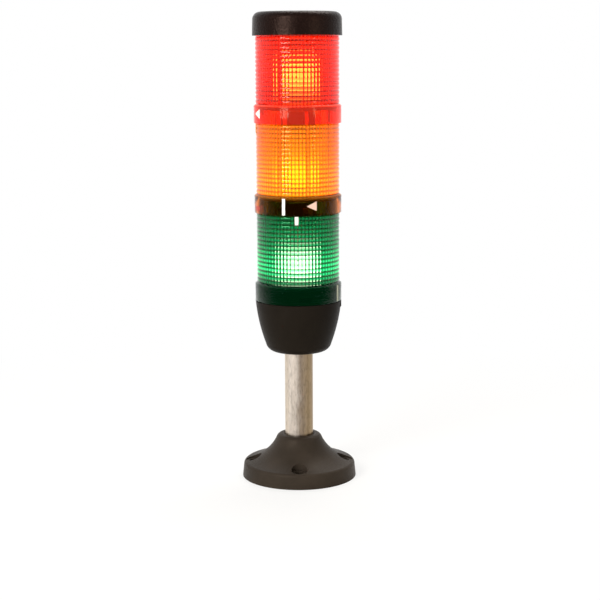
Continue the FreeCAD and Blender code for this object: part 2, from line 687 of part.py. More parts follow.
def lamp_cap():
    """Metal base of the lamp with its two side pins and two end contacts."""
    body = rod(LAMP_CAP_RADIUS, 0, LAMP_CAP_LOW, LAMP_CAP_TOP)
    reach = LAMP_CAP_RADIUS + LAMP_PIN_REACH
    side_pins = aimed(radial_rod(LAMP_PIN_RADIUS, -reach, reach, LAMP_PIN_HEIGHT), LAMP_PIN_BEARING)
    contact = rod(PLUNGER_RADIUS, PLUNGER_OFFSET, 0, LAMP_CAP_LOW)
    contacts = [aimed(contact, bearing) for bearing in (FEED_STRAP, COMMON_STRAP)]
    return body.fuse([side_pins] + contacts).removeSplitter()


def lamp_globe():
    waist = LAMP_CAP_RADIUS - SLEEVE_FIT
    return turned([
        (0, LAMP_CAP_TOP),
        (waist, LAMP_CAP_TOP),
        (GLOBE_RADIUS, LAMP_CAP_TOP + GLOBE_SHOULDER),
        (GLOBE_RADIUS, GLOBE_TOP - GLOBE_RADIUS, dome_sag(GLOBE_RADIUS, GLOBE_RADIUS)),
        (0, GLOBE_TOP)])


def seal():
    """Flat rubber ring between the deck and the neck below."""
    return ring(SEAL_RADIUS - SEAL_WIDTH, SEAL_RADIUS, NECK_RISE + SEAL_GAP, DECK_LOW)


# ---- Cap ---------------------------------------------------------------------------

def top_cap():
    """Moulded cap whose lugs lock on the uppermost neck."""
    low = CAP_SEAT - CAP_SKIRT
    top = low + CAP_HEIGHT
    wall_top = CAP_RADIUS - CAP_DRAFT
    ceiling = CAP_SEAT + NECK_RISE + SEAL_GAP + SEAL_THICKNESS
    crown = wall_top - CAP_CROWN_INSET
    body = turned([
        (CAP_COUNTER, low),
        (CAP_RADIUS, low),
        (wall_top, top - CAP_WALL_TOP, CAP_CORNER_SAG),
        (crown, top - CAP_CROWN_RISE, dome_sag(crown, CAP_CROWN_RISE)),
        (0, top),
        (0, top - CAP_DISC),
        (NECK_BORE - CAP_CROWN_RISE, top - CAP_DISC),
        (NECK_BORE - CAP_CROWN_RISE, ceiling),
        (COLLAR_BORE, ceiling),
        (COLLAR_BORE, low + CAP_COUNTER_DEPTH),
        (CAP_COUNTER, low + CAP_COUNTER_DEPTH)])
    tick = FIRST_TICK + TIER_TURN * len(TIER_NAMES)
    return body.fuse(lugs(CAP_SEAT, tick)).removeSplitter()


def cap_seal():
    low = CAP_SEAT + NECK_RISE + SEAL_GAP
    return ring(SEAL_RADIUS - SEAL_WIDTH, SEAL_RADIUS, low, low + SEAL_THICKNESS)


# ---- Assembly ----------------------------------------------------------------------

def stand_pieces():
    return {
        "foot": foot(),
        "foot_set_screw": grub_screw(FOOT_GRUB_HEIGHT),
        "pole_tube": pole_tube(),
        "base_housing": base_housing(),
        "base_set_screw": grub_screw(BASE_GRUB_HEIGHT),
        "terminal_carrier": terminal_carrier(),
        "terminal_clamps": group(terminal_clamp()),
        "terminal_screws": group(terminal_screw()),
        "base_contact_springs": group(base_contact_spring()),
    }


def tier_pieces():
    return {
        "lens": lens(),
        "lamp_deck": lamp_deck(),
        "lamp_socket": lamp_socket(),
        "socket_pins": socket_pins(),
        "lamp_straps": lamp_straps(),
        "contact_strips": contact_strips(),
        "lamp_cap": lamp_cap(),
        "lamp_globe": lamp_globe(),
        "seal": seal(),
    }


def assembly():
    """All pieces by name. Each tier is turned on from the one below, so that its tick
    stands past the mark under it by the twist."""
    pieces = stand_pieces()
    tier = tier_pieces()
    for level, colour in enumerate(TIER_NAMES):
        tick = FIRST_TICK + TIER_TURN * level
        for name, shape in tier.items():
            placed = turned_by(shape, tick)
            placed.translate(Vector(0, 0, COLLAR_SEAT + TIER_PITCH * level))
            pieces[colour + "_" + name] = placed
    pieces["top_cap"] = top_cap()
    pieces["cap_seal"] = cap_seal()
    return pieces


os.makedirs("parts", exist_ok=True)
for node, shape in assembly().items():
    shape.exportStep("parts/" + node + ".step")
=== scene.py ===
import json
import math

import bpy
import numpy as np
from mathutils import Matrix, Vector


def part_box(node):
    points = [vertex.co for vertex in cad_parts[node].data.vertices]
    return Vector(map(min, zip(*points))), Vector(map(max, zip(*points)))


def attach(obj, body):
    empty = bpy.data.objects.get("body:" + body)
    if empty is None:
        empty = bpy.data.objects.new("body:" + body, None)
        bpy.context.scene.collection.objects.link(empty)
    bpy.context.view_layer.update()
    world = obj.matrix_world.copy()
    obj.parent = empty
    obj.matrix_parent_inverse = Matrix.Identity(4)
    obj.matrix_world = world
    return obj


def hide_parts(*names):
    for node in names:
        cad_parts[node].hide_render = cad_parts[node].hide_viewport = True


# Looks of a stack light with three lit tiers on a tube and a round foot. The frame gives every
# place and the main sizes. Sizes of the object are in millimetres until a mesh is made; what
# materials, lights and camera use is in metres. A bearing is in degrees, from the front (-Y)
# towards +X. In a tier, bearings count from its tick mark and heights from its seat.

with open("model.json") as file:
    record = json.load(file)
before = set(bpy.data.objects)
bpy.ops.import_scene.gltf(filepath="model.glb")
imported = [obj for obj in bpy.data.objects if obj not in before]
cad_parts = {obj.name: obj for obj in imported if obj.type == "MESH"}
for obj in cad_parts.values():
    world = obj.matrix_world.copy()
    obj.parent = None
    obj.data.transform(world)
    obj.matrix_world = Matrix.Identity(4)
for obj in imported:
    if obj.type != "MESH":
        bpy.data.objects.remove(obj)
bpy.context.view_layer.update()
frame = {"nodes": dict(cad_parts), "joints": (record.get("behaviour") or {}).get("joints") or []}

MM = 0.001


# ---- Sizes read from the frame -----------------------------------------------------

def node_span(node):
    """Lowest height, highest height and outer radius of a CAD node, in millimetres."""
    low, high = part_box(node)
    return low.z / MM, high.z / MM, (high.x - low.x) / 2 / MM


TIERS = ("green", "amber", "red")
JOINT_TWIST = frame["joints"][0]["range_deg"][1]
SEATS = {joint["child"]: joint["pos_m"][2] / MM for joint in frame["joints"]}
BODY_RADIUS = node_span("green_lens")[2]
PITCH = SEATS["amber_tier"] - SEATS["green_tier"]
NECK_RISE = node_span("green_lens")[1] - SEATS["amber_tier"]
DECK_LOW = node_span("green_seal")[1] - SEATS["green_tier"]

# ---- Sizes of the visible detail ---------------------------------------------------

# Collar at the foot of a lens, and the neck of the lens below that it slides over
COLLAR_WALL = 1.6
COLLAR_HEIGHT = 11.0
COLLAR_SHOULDER = 1.2
COLLAR_BORE = BODY_RADIUS - COLLAR_WALL
NECK_CLEAR = 0.5
NECK_WALL = 2.0
NECK_RADIUS = COLLAR_BORE - NECK_CLEAR
NECK_BORE = NECK_RADIUS - NECK_WALL
DECK_THICKNESS = 1.5
DECK_TOP = DECK_LOW + DECK_THICKNESS
TIER_GAP = 0.3
LENS_SHOULDER = PITCH - TIER_GAP

# Rings of ribs outside, each rounded in steps of height
RIB_COUNT = 16
RIB_PITCH = (LENS_SHOULDER - COLLAR_HEIGHT) / RIB_COUNT
RIB_ROOT = COLLAR_BORE
RIB_DEPTH = 0.5
RIB_STEPS = 6

# Index pad at the top of a lens, raised over the ribs to take a printed mark
PAD_FROM_TICK = -66.0
PAD_LENGTH = 5.0
PAD_WIDTH = 2.4
PAD_RADIUS = RIB_ROOT + 0.7
PAD_HALF = math.degrees(PAD_WIDTH / 2 / PAD_RADIUS)

# Upright flutes inside, with a plain land in place of every eighteenth
FLUTE_COUNT = 72
FLUTE_TURN = 360.0 / FLUTE_COUNT
FLUTE_STEPS = 8
FLUTE_VALLEY = NECK_BORE + 1.0
FLUTE_DEPTH = 0.45
FLUTE_TOP = LENS_SHOULDER - 0.7
FLUTE_ROWS = 6
LAND_EVERY = 18
LAND_FROM_TICK = PAD_FROM_TICK - 6.0

# Twist lock: lugs inside the collar, and L-shaped grooves in the neck for the next tier's lugs
QUARTERS = (0.0, 90.0, 180.0, 270.0)
TURN_PER_TIER = PAD_FROM_TICK - JOINT_TWIST
GROOVE_FLOOR = NECK_RADIUS - 1.3
GROOVE_CLEAR = 0.3
LUG_TIP = GROOVE_FLOOR + 0.3
LUG_LOW = 1.6
LUG_HIGH = 4.2
LUG_HALF = 9.0
LUG_FROM_TICK = 36.0
GROOVE_HALF = LUG_HALF + 1.0
LUG_CENTRES = [LUG_FROM_TICK + quarter for quarter in QUARTERS]
GROOVE_CENTRES = [TURN_PER_TIER + LUG_FROM_TICK + quarter for quarter in QUARTERS]

# Edges of the moulding: half the turn that an upright edge takes, then the height that a level
# one takes, in general, at the shoulder and under the deck
UPRIGHT_EDGE = 0.06
LEVEL_EDGE = 0.05
SHOULDER_EDGE = 0.01
DECK_EDGE = 0.02

# Rounded edge of the neck, as (how far in, how far down), and the outside of the collar, as
# (radius, height)
NECK_EDGE = ((0.0, 0.30), (0.22, 0.06), (0.40, 0.0))
SHOULDER_LOW = COLLAR_HEIGHT - COLLAR_SHOULDER
COLLAR_PROFILE = ((BODY_RADIUS - 0.30, 0.0), (BODY_RADIUS - 0.08, 0.08), (BODY_RADIUS, 0.30),
                  (BODY_RADIUS, SHOULDER_LOW - 0.15), (BODY_RADIUS - 0.10, SHOULDER_LOW + 0.08),
                  (RIB_ROOT + 0.12, COLLAR_HEIGHT - 0.10))

# Printed marks. The first is the bearing of the index rib on the base, and each tick stands a
# twist away from the index below it.
BASE_MARK = 81.0
TICKS = {name: BASE_MARK - JOINT_TWIST + TURN_PER_TIER * level for level, name in enumerate(TIERS)}
MARK_SUNK = 0.02
MARK_PROUD = 0.06
TICK_WIDTH = 1.8
TICK_LOW = 0.4
TICK_HIGH = 9.75
TRIANGLE_FROM_TICK = 37.0
TRIANGLE_WIDTH = 5.9
TRIANGLE_HEIGHT = 5.5
TRIANGLE_MIDDLE = 5.5
TRIANGLE_POINT = 0.01
TRIANGLE_COLUMNS = 16
STRIP_COLUMNS = 6
INDEX_WIDTH = 2.1
INDEX_LOW = LENS_SHOULDER - PAD_LENGTH + 0.2
INDEX_HIGH = LENS_SHOULDER - 0.1


# ---- Node helpers ------------------------------------------------------------------

def new_material(name):
    """Empty node material with its output; returns (material, nodes, links, output)."""
    material = bpy.data.materials.new(name)
    material.use_nodes = True
    nodes = material.node_tree.nodes
    nodes.clear()
    return material, nodes, material.node_tree.links, nodes.new("ShaderNodeOutputMaterial")


def add(nodes, kind, inputs=None, **settings):
    """Adds a node, sets its properties, and sets the named or numbered inputs."""
    node = nodes.new("ShaderNode" + kind)
    for key, value in settings.items():
        setattr(node, key, value)
    for key, value in (inputs or {}).items():
        node.inputs[key].default_value = value
    return node


def feed(links, value, socket):
    """Sets an input to a number, or links a socket to it."""
    if isinstance(value, (int, float)):
        socket.default_value = value
    else:
        links.new(value, socket)


def calculate(nodes, links, operation, first, second=None, clamp=False):
    """Result of a math node on one or two values, each a socket or a number."""
    node = add(nodes, "Math", operation=operation, use_clamp=clamp)
    feed(links, first, node.inputs[0])
    if second is not None:
        feed(links, second, node.inputs[1])
    return node.outputs["Value"]


def spread(nodes, links, value, source, target):
    """Value remapped from one (low, high) range to another."""
    node = add(nodes, "MapRange", {"From Min": source[0], "From Max": source[1],
                                   "To Min": target[0], "To Max": target[1]})
    links.new(value, node.inputs["Value"])
    return node.outputs["Result"]


def between(nodes, links, value, points):
    """Value remapped along a straight-sided curve of (from, to) points."""
    total = points[0][1]
    for (start, low), (end, high) in zip(points, points[1:]):
        part = spread(nodes, links, value, (start, end), (0.0, high - low))
        total = calculate(nodes, links, "ADD", part, total)
    return total


def ramp(nodes, links, value, stops):
    """Colour that a value picks on a ramp with (position, colour) stops."""
    node = add(nodes, "ValToRGB")
    elements = node.color_ramp.elements
    while len(elements) < len(stops):
        elements.new(0.5)
    for element, (position, colour) in zip(elements, stops):
        element.position = position
        element.color = (*colour, 1.0)
    links.new(value, node.inputs["Fac"])
    return node.outputs["Color"]


def darken(nodes, links, share, colour, pattern):
    """Colour multiplied by a share of a pattern."""
    node = add(nodes, "MixRGB", {"Fac": share}, blend_type="MULTIPLY")
    links.new(colour, node.inputs["Color1"])
    links.new(pattern, node.inputs["Color2"])
    return node.outputs["Color"]


def mix_shaders(nodes, links, share, first, second):
    """First shader where the share is 0, second where it is 1."""
    node = add(nodes, "MixShader")
    feed(links, share, node.inputs["Fac"])
    links.new(first, node.inputs[1])
    links.new(second, node.inputs[2])
    return node.outputs["Shader"]


def add_shaders(nodes, links, first, second):
    """Sum of two shaders."""
    node = add(nodes, "AddShader")
    links.new(first, node.inputs[0])
    links.new(second, node.inputs[1])
    return node.outputs["Shader"]


def emission(nodes, links, colour, strength):
    """Light of a colour; the strength is a socket or a number."""
    node = add(nodes, "Emission", {"Color": (*colour, 1.0)})
    feed(links, strength, node.inputs["Strength"])
    return node.outputs["Emission"]


def object_place(nodes, links):
    """The x, y and z outputs of the place in object space, in metres."""
    split = add(nodes, "SeparateXYZ")
    links.new(add(nodes, "TexCoord").outputs["Object"], split.inputs["Vector"])
    return split.outputs


def object_noise(nodes, links, scale, detail, stretch=None):
    """Noise in object space, in cycles a metre, stretched along an axis if asked."""
    place = add(nodes, "TexCoord").outputs["Object"]
    if stretch:
        mapping = add(nodes, "Mapping", {"Scale": stretch})
        links.new(place, mapping.inputs["Vector"])
        place = mapping.outputs["Vector"]
    noise = add(nodes, "TexNoise", {"Scale": scale, "Detail": detail})
    links.new(place, noise.inputs["Vector"])
    return noise.outputs["Fac"]


def set_bump(nodes, links, shader, height, strength, distance):
    """Gives a shader a fine relief; the distance is in metres."""
    bump = add(nodes, "Bump", {"Strength": strength, "Distance": distance})
    links.new(height, bump.inputs["Height"])
    links.new(bump.outputs["Normal"], shader.inputs["Normal"])


# ---- Opaque materials --------------------------------------------------------------

def grained_plastic(name, dark, light, roughness, gloss, grain=0.00005, grain_scale=1300.0,
                    tint=(1.0, 0.84, 0.70)):
    """Black moulded plastic with a fine spark-eroded grain and faint handling marks. The grain
    is in metres and its scale in cycles a metre."""
    material, nodes, links, output = new_material(name)
    shader = add(nodes, "BsdfPrincipled", {"Specular IOR Level": gloss,
                                           "Specular Tint": (*tint, 1.0)})
    cloud = object_noise(nodes, links, 45.0, 5.0)
    tone = ramp(nodes, links, cloud, [(0.35, dark), (0.70, light)])
    links.new(tone, shader.inputs["Base Color"])
    speck = object_noise(nodes, links, grain_scale, 2.0)
    shine = spread(nodes, links, speck, (0.3, 0.7), (roughness - 0.12, roughness + 0.12))
    links.new(shine, shader.inputs["Roughness"])
    set_bump(nodes, links, shader, speck, 0.8, grain)
    links.new(shader.outputs["BSDF"], output.inputs["Surface"])
    return material


# Colour of the tube by share of a turn: 0 behind, 0.25 on the left, 0.5 in front, 0.75 on the
# right. It is partly a brown patina on the right front and partly painted reflection: lighter
# behind and on the left, where the light falls, and darker in front. Noise moves it by up to half
# of the wander, in radians, either way.
PAINTED_REFLECTION_AND_PATINA = [(0.0, (0.80, 0.74, 0.67)), (0.30, (0.78, 0.67, 0.54)), (0.40, (0.70, 0.62, 0.54)),
          (0.475, (0.46, 0.40, 0.345)), (0.53, (0.29, 0.225, 0.165)),
          (0.61, (0.32, 0.235, 0.14)), (0.70, (0.42, 0.31, 0.19)), (0.85, (0.66, 0.57, 0.45))]
PAINTED_REFLECTION_AND_PATINA_WANDER = 0.6


def drawn_aluminium():
    """Natural drawn tube: draw lines along it, scuffs, and colour by side that is partly a brown
    patina and partly painted reflection, lighter on the left and darker in front.
    """
    material, nodes, links, output = new_material("drawn_aluminium")
    shader = add(nodes, "BsdfPrincipled", {"Metallic": 1.0, "Anisotropic": 0.4})
    lines = object_noise(nodes, links, 900.0, 4.0, stretch=(1.0, 1.0, 0.02))
    scuffs = object_noise(nodes, links, 1200.0, 5.0, stretch=(1.0, 1.0, 0.25))
    ragged = object_noise(nodes, links, 300.0, 6.0, stretch=(1.0, 1.0, 0.35))
    place = object_place(nodes, links)
    angle = calculate(nodes, links, "ARCTAN2", place["X"],
                      calculate(nodes, links, "MULTIPLY", place["Y"], -1.0))
    wander = calculate(nodes, links, "MULTIPLY",
                       calculate(nodes, links, "SUBTRACT", ragged, 0.5), PAINTED_REFLECTION_AND_PATINA_WANDER)
    turn = calculate(nodes, links, "ADD", calculate(nodes, links, "ADD", angle, wander), math.pi)
    # Colour by side: partly brown patina, partly painted reflection, lighter on the left and darker
    # in front
    reflection_and_patina = ramp(nodes, links, calculate(nodes, links, "DIVIDE", turn, math.tau), PAINTED_REFLECTION_AND_PATINA)
    streaks = ramp(nodes, links, lines, [(0.35, (0.62, 0.60, 0.58)), (0.62, (1.0, 1.0, 1.0))])
    marks = ramp(nodes, links, scuffs, [(0.38, (0.60, 0.58, 0.56)), (0.52, (1.0, 1.0, 1.0))])
    streaked = darken(nodes, links, 0.45, reflection_and_patina, streaks)
    worn = darken(nodes, links, 0.50, streaked, marks)
    links.new(worn, shader.inputs["Base Color"])
    shine = spread(nodes, links, scuffs, (0.3, 0.7), (0.28, 0.48))
    links.new(shine, shader.inputs["Roughness"])
    set_bump(nodes, links, shader, lines, 0.5, 0.00004)
    links.new(shader.outputs["BSDF"], output.inputs["Surface"])
    return material


def plain_metal(name, colour, roughness):
    """Metal for small inner parts, with slight variation in its shine."""
    material, nodes, links, output = new_material(name)
    shader = add(nodes, "BsdfPrincipled", {"Metallic": 1.0, "Base Color": (*colour, 1.0)})
    noise = object_noise(nodes, links, 400.0, 3.0)
    shine = spread(nodes, links, noise, (0.0, 1.0), (roughness - 0.08, roughness + 0.12))
    links.new(shine, shader.inputs["Roughness"])
    links.new(shader.outputs["BSDF"], output.inputs["Surface"])
    return material


def soft_plain(name, colour, roughness, variation):
    """Plain plastic, paint or rubber with a little tonal variation."""
    material, nodes, links, output = new_material(name)
    shader = add(nodes, "BsdfPrincipled", {"Roughness": roughness})
    low = tuple(channel * (1 - variation) for channel in colour)
    noise = object_noise(nodes, links, 80.0, 4.0)
    tone = ramp(nodes, links, noise, [(0.3, low), (0.7, colour)])
    links.new(tone, shader.inputs["Base Color"])
    links.new(shader.outputs["BSDF"], output.inputs["Surface"])
    return material


# ---- Lens and lamp materials -------------------------------------------------------

CLEAR_ROUGHNESS = 0.04
CLEAR_IOR = 1.49
MATTE_SHARE = 0.4

# Heights in a tier, in metres: where the ribbed wall fades in and out, and the borders between
# which the haze of the plain wall, the shoulder and the ribbed wall holds
RIBBED_ZONE = [(0.0095, 0.0), (0.0110, 1.0), (0.0503, 1.0), (0.0508, 0.0)]
PLAIN_TOP = 0.0085
SHOULDER_ZONE = (0.0100, 0.0112)
HAZED_ZONE = (0.0125, 0.0500)
NECK_BOTTOM = 0.0510

# Painted glow along the ribs, in place of the lamp seen through the ribs and flutes: how sharp each
# bright line is, how bright it stays between the dots, how strong the dots are, and what the plain
# wall has
LINE_SHARPNESS = 1.2
LINE_BETWEEN_DOTS = 0.12
DOT_STRENGTH = 3.3
PLAIN_GLOW = 0.10


def crests(nodes, links, angle):
    """1 on the crests of a wave, 0 in its troughs, from its angle."""
    wave = calculate(nodes, links, "COSINE", angle)
    return calculate(nodes, links, "MULTIPLY", calculate(nodes, links, "ADD", wave, 1.0), 0.5)


def painted_glow_pattern(nodes, links, seat, tick):
    """(height in the tier in metres, painted glow: a bright line along each rib with a dot at each
    flute, in place of the lamp seen through them).
    """
    place = object_place(nodes, links)
    height = calculate(nodes, links, "SUBTRACT", place["Z"], seat * MM)
    angle = calculate(nodes, links, "ARCTAN2", place["Y"], place["X"])
    land = math.radians(tick + LAND_FROM_TICK - 90.0)
    from_land = calculate(nodes, links, "SUBTRACT", angle, land)
    flutes = crests(nodes, links, calculate(nodes, links, "MULTIPLY", from_land, FLUTE_COUNT))
    pitch = RIB_PITCH * MM
    rise = calculate(nodes, links, "SUBTRACT", height, COLLAR_HEIGHT * MM + pitch / 2)
    ribs = crests(nodes, links, calculate(nodes, links, "MULTIPLY", rise, math.tau / pitch))
    line = calculate(nodes, links, "POWER", ribs, LINE_SHARPNESS)
    dot = calculate(nodes, links, "ADD",
                    calculate(nodes, links, "MULTIPLY", flutes, 1.0 - LINE_BETWEEN_DOTS),
                    LINE_BETWEEN_DOTS)
    return height, calculate(nodes, links, "MULTIPLY", line, dot)


def lens_plastic(name, seat, tick, dye, body, haze, sheen, glow, painted_inner_glow, painted_glow_by_height):
    """Dyed clear plastic. Dye is what it absorbs in each metre, for red, green and blue. Haze is
    the share that the plain wall, the shoulder and the ribbed wall scatter, and sheen the tint of
    the mirror image on the plain and on the ribbed wall. The last three give painted glow, light
    that no lamp casts, in place of the lamp light that the plastic carries and the ribs turn
    outward: its colour, what a metre of the plastic gives off, and what its surface gives off by
    height in the tier."""
    material, nodes, links, output = new_material(name)
    height, dots = painted_glow_pattern(nodes, links, seat, tick)
    on_ribs = between(nodes, links, height, RIBBED_ZONE)

    clear = add(nodes, "BsdfPrincipled", {"Base Color": (1.0, 1.0, 1.0, 1.0),
                                          "Roughness": CLEAR_ROUGHNESS, "IOR": CLEAR_IOR,
                                          "Transmission Weight": 1.0})
    mirrored = add(nodes, "MixRGB", {"Color1": (*sheen[0], 1.0), "Color2": (*sheen[1], 1.0)})
    links.new(on_ribs, mirrored.inputs["Fac"])
    links.new(mirrored.outputs["Color"], clear.inputs["Specular Tint"])

    soft = add(nodes, "BsdfTranslucent", {"Color": (*body, 1.0)})
    matte = add(nodes, "BsdfDiffuse", {"Color": (*body, 1.0)})
    milk = mix_shaders(nodes, links, MATTE_SHARE, soft.outputs["BSDF"], matte.outputs["BSDF"])
    plain, shoulder, ribbed = haze
    milky = between(nodes, links, height,
                    [(PLAIN_TOP, plain), (SHOULDER_ZONE[0], shoulder), (SHOULDER_ZONE[1], shoulder),
                     (HAZED_ZONE[0], ribbed), (HAZED_ZONE[1], ribbed), (NECK_BOTTOM, plain)])
    wall = mix_shaders(nodes, links, milky, clear.outputs["BSDF"], milk)

    # Painted glow on the surface, light that no lamp casts: bright lines and dots on the ribs, a
    # plain glow elsewhere, by height
    painted_glow_strength = between(nodes, links, height, painted_glow_by_height)
    on_dots = calculate(nodes, links, "MULTIPLY", dots,
                        calculate(nodes, links, "MULTIPLY", on_ribs, DOT_STRENGTH))
    pattern = calculate(nodes, links, "ADD", on_dots, PLAIN_GLOW)
    shine = emission(nodes, links, glow, calculate(nodes, links, "MULTIPLY", painted_glow_strength, pattern))
    links.new(add_shaders(nodes, links, wall, shine), output.inputs["Surface"])

    density = max(dye)
    absorb = tuple(1.0 - share / density for share in dye)
    volume = add(nodes, "VolumeAbsorption", {"Color": (*absorb, 1.0), "Density": density})
    # Painted glow inside the plastic, light that no lamp casts, in place of the lamp light it
    # carries
    inner = emission(nodes, links, glow, painted_inner_glow)
    links.new(add_shaders(nodes, links, volume.outputs["Volume"], inner), output.inputs["Volume"])
    return material


def lamp_glow(name, colour, core, rim, middle, half_height):
    """Lit lamp glass: a bright filament zone, with its middle and half height in millimetres,
    that falls off towards the ends."""
    material, nodes, links, output = new_material(name)
    place = object_place(nodes, links)
    away = calculate(nodes, links, "SUBTRACT", place["Z"], middle * MM)
    share = calculate(nodes, links, "DIVIDE", away, half_height * MM)
    square = calculate(nodes, links, "MULTIPLY", share, share)
    bell = calculate(nodes, links, "POWER", math.exp(-1.0), square)
    zone = calculate(nodes, links, "MULTIPLY", bell, core)
    light = emission(nodes, links, colour, calculate(nodes, links, "ADD", zone, rim))
    links.new(light, output.inputs["Surface"])
    return material


# ---- Mesh helpers ------------------------------------------------------------------

def make_piece(name, vertices, faces, material, body, smooth_angle):
    """Mesh object from millimetre points, smooth up to an angle, riding on a body."""
    mesh = bpy.data.meshes.new(name)
    mesh.from_pydata((np.asarray(vertices) * MM).tolist(), [], faces)
    mesh.update()
    mesh.shade_smooth()
    mesh.set_sharp_from_angle(angle=math.radians(smooth_angle))
    mesh.materials.append(material)
    piece = bpy.data.objects.new(name, mesh)
    bpy.context.scene.collection.objects.link(piece)
    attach(piece, body)
    return piece


def on_circle(radius, bearing):
    """Points at a radius and a bearing in degrees, as two arrays."""
    angle = np.radians(np.asarray(bearing) - 90.0)
    return radius * np.cos(angle), radius * np.sin(angle)


def grid_faces(rows, columns):
    """Quads of a closed tube of rows that wraps both ways."""
    faces = []
    for row in range(rows):
        up = (row + 1) % rows
        for column in range(columns):
            right = (column + 1) % columns
            faces.append((row * columns + column, row * columns + right,
                          up * columns + right, up * columns + column))
    return faces


def arc_bulge(share, pitch, depth):
    """Height of a circular rib over its chord; share runs 0 to 1 across the pitch."""
    bend = (pitch ** 2 / 4 + depth ** 2) / (2 * depth)
    across = (np.asarray(share) - 0.5) * pitch
    return np.sqrt(bend ** 2 - across ** 2) - (bend - depth)


def inside(bearing, centre, half):
    """True where a bearing lies within half degrees of a centre."""
    return np.abs((np.asarray(bearing) - centre + 180.0) % 360.0 - 180.0) < half


def inside_any(bearing, centres, half):
    """True where a bearing lies within half degrees of one of the centres."""
    return np.any([inside(bearing, centre, half) for centre in centres], axis=0)


# ---- Lenses ------------------------------------------------------------------------

LENS_SMOOTH_ANGLE = 50.0


def lens_bearings():
    """Columns of the lens mesh: even steps, and a close pair at each upright edge."""
    count = FLUTE_COUNT * FLUTE_STEPS
    even = list(np.arange(count) * 360.0 / count)
    edges = [PAD_FROM_TICK - PAD_HALF, PAD_FROM_TICK + PAD_HALF]
    for centre in LUG_CENTRES:
        edges += [centre - LUG_HALF, centre + LUG_HALF]
    for centre in GROOVE_CENTRES:
        entry = centre + JOINT_TWIST
        edges += [centre - GROOVE_HALF, entry - GROOVE_HALF, entry + GROOVE_HALF]
    pairs = [edge + side for edge in edges for side in (-UPRIGHT_EDGE, UPRIGHT_EDGE)]
    return np.unique(np.round(np.array(even + pairs) % 360.0, 3))


def rib_rows(bearings):
    """Rounded ribs outside, with the index pad over the highest of them."""
    on_pad = inside(bearings, PAD_FROM_TICK, PAD_HALF)
    rows = []
    for step in range(RIB_COUNT * RIB_STEPS + 1):
        height = COLLAR_HEIGHT + RIB_PITCH * step / RIB_STEPS
        radius = RIB_ROOT + arc_bulge((step % RIB_STEPS) / RIB_STEPS, RIB_PITCH, RIB_DEPTH)
        raised = on_pad & (height > LENS_SHOULDER - PAD_LENGTH)
        rows.append((np.where(raised, PAD_RADIUS, radius), height))
    return rows


def neck_rows(bearings, flat):
    """Bayonet neck with its L-shaped grooves, from the shoulder to the mouth and down the bore."""
    halfway = [centre + JOINT_TWIST / 2 for centre in GROOVE_CENTRES]
    entries = [centre + JOINT_TWIST for centre in GROOVE_CENTRES]
    in_run = inside_any(bearings, halfway, GROOVE_HALF + JOINT_TWIST / 2)
    in_entry = inside_any(bearings, entries, GROOVE_HALF)
    run = np.where(in_run, GROOVE_FLOOR, NECK_RADIUS)
    entry = np.where(in_entry, GROOVE_FLOOR, NECK_RADIUS)
    run_low = PITCH + LUG_LOW - GROOVE_CLEAR
    run_high = PITCH + LUG_HIGH + GROOVE_CLEAR
    top = PITCH + NECK_RISE
    rows = [(flat * NECK_RADIUS, LENS_SHOULDER + SHOULDER_EDGE),
            (flat * NECK_RADIUS, run_low - LEVEL_EDGE), (run, run_low), (run, run_high),
            (entry, run_high + LEVEL_EDGE)]
    rows += [(np.minimum(entry, NECK_RADIUS - inset), top - drop) for inset, drop in NECK_EDGE]
    return rows + [(flat * NECK_BORE, top), (flat * NECK_BORE, FLUTE_TOP)]


def flute_rows(bearings):
    """Upright flutes inside, from the neck down to the deck."""
    share = bearings / FLUTE_TURN - LAND_FROM_TICK / FLUTE_TURN + 0.5
    on_land = np.floor(share).astype(int) % LAND_EVERY == 0
    depth = arc_bulge(share % 1.0, FLUTE_VALLEY * math.radians(FLUTE_TURN), FLUTE_DEPTH)
    fluted = FLUTE_VALLEY - np.where(on_land, FLUTE_DEPTH, depth)
    heights = [FLUTE_TOP - LEVEL_EDGE, *np.linspace(FLUTE_TOP - 1.0, DECK_TOP, FLUTE_ROWS)]
    return [(fluted, height) for height in heights]


def bore_rows(bearings, flat):
    """Bore of the collar with its lugs, from the deck down to the seat."""
    lugged = np.where(inside_any(bearings, LUG_CENTRES, LUG_HALF), LUG_TIP, COLLAR_BORE)
    bore = flat * COLLAR_BORE
    return [(bore, DECK_TOP - DECK_EDGE), (bore, LUG_HIGH + LEVEL_EDGE), (lugged, LUG_HIGH),
            (lugged, LUG_LOW), (bore, LUG_LOW - LEVEL_EDGE), (bore, 0.0)]


def lens_rows(bearings):
    """(radii, height) for each row of the moulding's skin, outside upward, then inside downward."""
    flat = np.ones_like(bearings)
    collar = [(flat * radius, height) for radius, height in COLLAR_PROFILE]
    return (collar + rib_rows(bearings) + neck_rows(bearings, flat) + flute_rows(bearings)
            + bore_rows(bearings, flat))


def build_lens(tier, material):
    """Lens moulding of a tier, in place of the CAD node."""
    bearings = lens_bearings()
    vertices = []
    for radii, height in lens_rows(bearings):
        x, y = on_circle(radii, bearings + TICKS[tier])
        z = np.full(len(bearings), SEATS[tier + "_tier"] + height)
        vertices.append(np.column_stack([x, y, z]))
    faces = grid_faces(len(vertices), len(bearings))
    lens = make_piece(tier + "_lens_moulding", np.vstack(vertices), faces, material, tier + "_tier",
                      LENS_SMOOTH_ANGLE)
    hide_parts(tier + "_lens")


# ---- Printed marks -----------------------------------------------------------------

MARK_SMOOTH_ANGLE = 30.0


